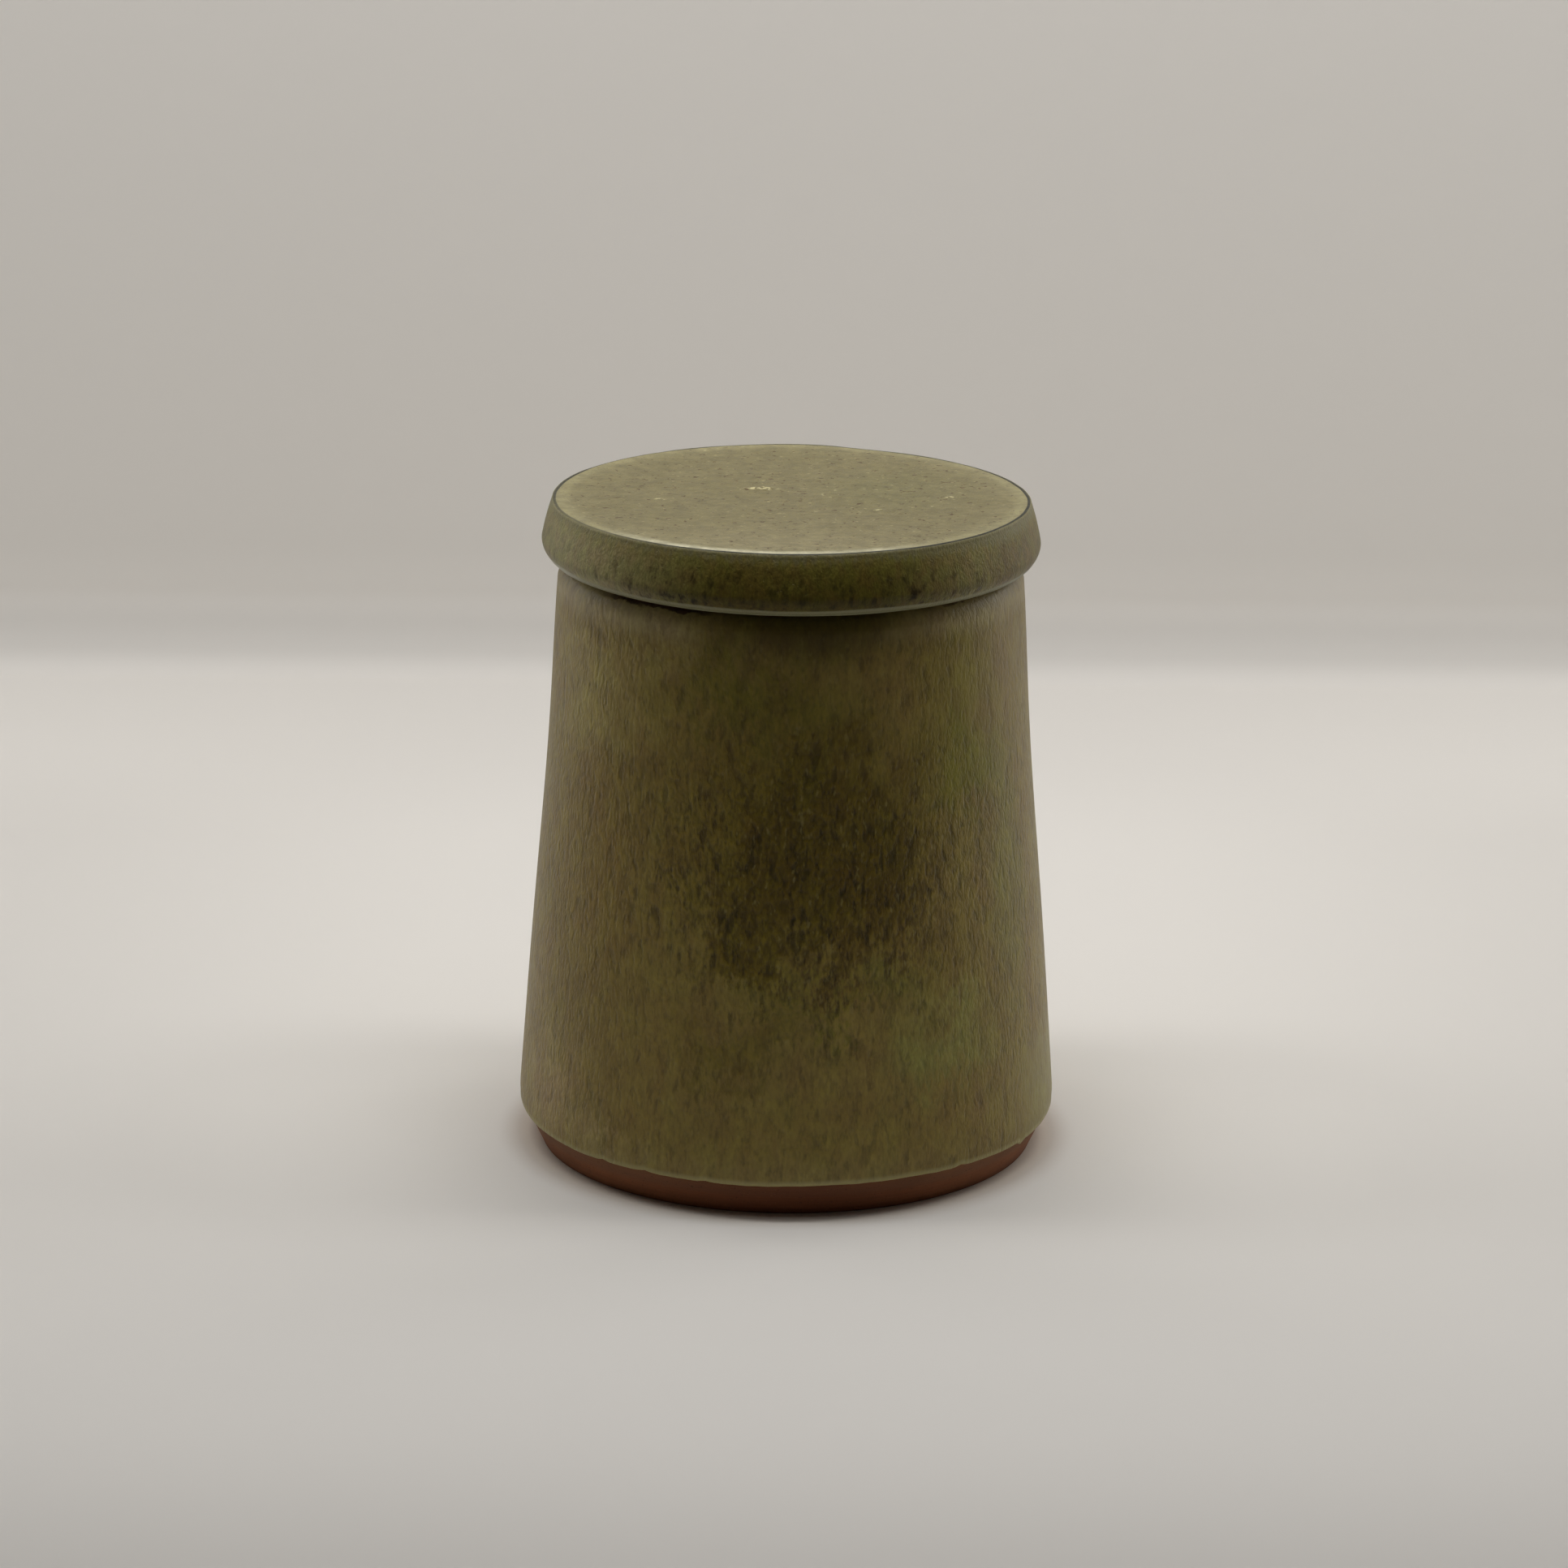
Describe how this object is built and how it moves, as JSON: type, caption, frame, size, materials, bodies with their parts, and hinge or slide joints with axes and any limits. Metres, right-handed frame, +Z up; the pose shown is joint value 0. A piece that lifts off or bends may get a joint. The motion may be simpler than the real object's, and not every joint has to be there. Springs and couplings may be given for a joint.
{
  "type": "lidded storage jar",
  "caption": "Straight-sided, slightly tapered stoneware storage jar with an olive ash glaze, a bare bevelled foot and a flat lift-off lid.",
  "frame": {"origin": "centre of the foot's underside, on the surface that the jar stands on", "axes": "+Z up along the axis of the jar, -Y towards the side that the picture shows"},
  "size_m": [0.1, 0.1, 0.122],
  "materials": {
    "red_stoneware": "bare red-brown stoneware, matt",
    "jar_olive_glaze": "streaked olive ash glaze, satin",
    "lid_olive_glaze": "pale khaki ash glaze, satin",
    "liner_glaze": "plain olive glaze, satin"
  },
  "bodies": {
    "jar": {"jar_body": "red_stoneware", "jar_outer_glaze": "jar_olive_glaze", "jar_liner_glaze": "liner_glaze"},
    "lid": {"lid_body": "red_stoneware", "lid_top_glaze": "lid_olive_glaze", "lid_underside_glaze": "liner_glaze"}
  },
  "joints": [
    {"name": "lid_lift", "type": "slide", "parent": "jar", "child": "lid", "axis": [0, 0, 1], "range_m": [0, 0.12]}
  ]
}
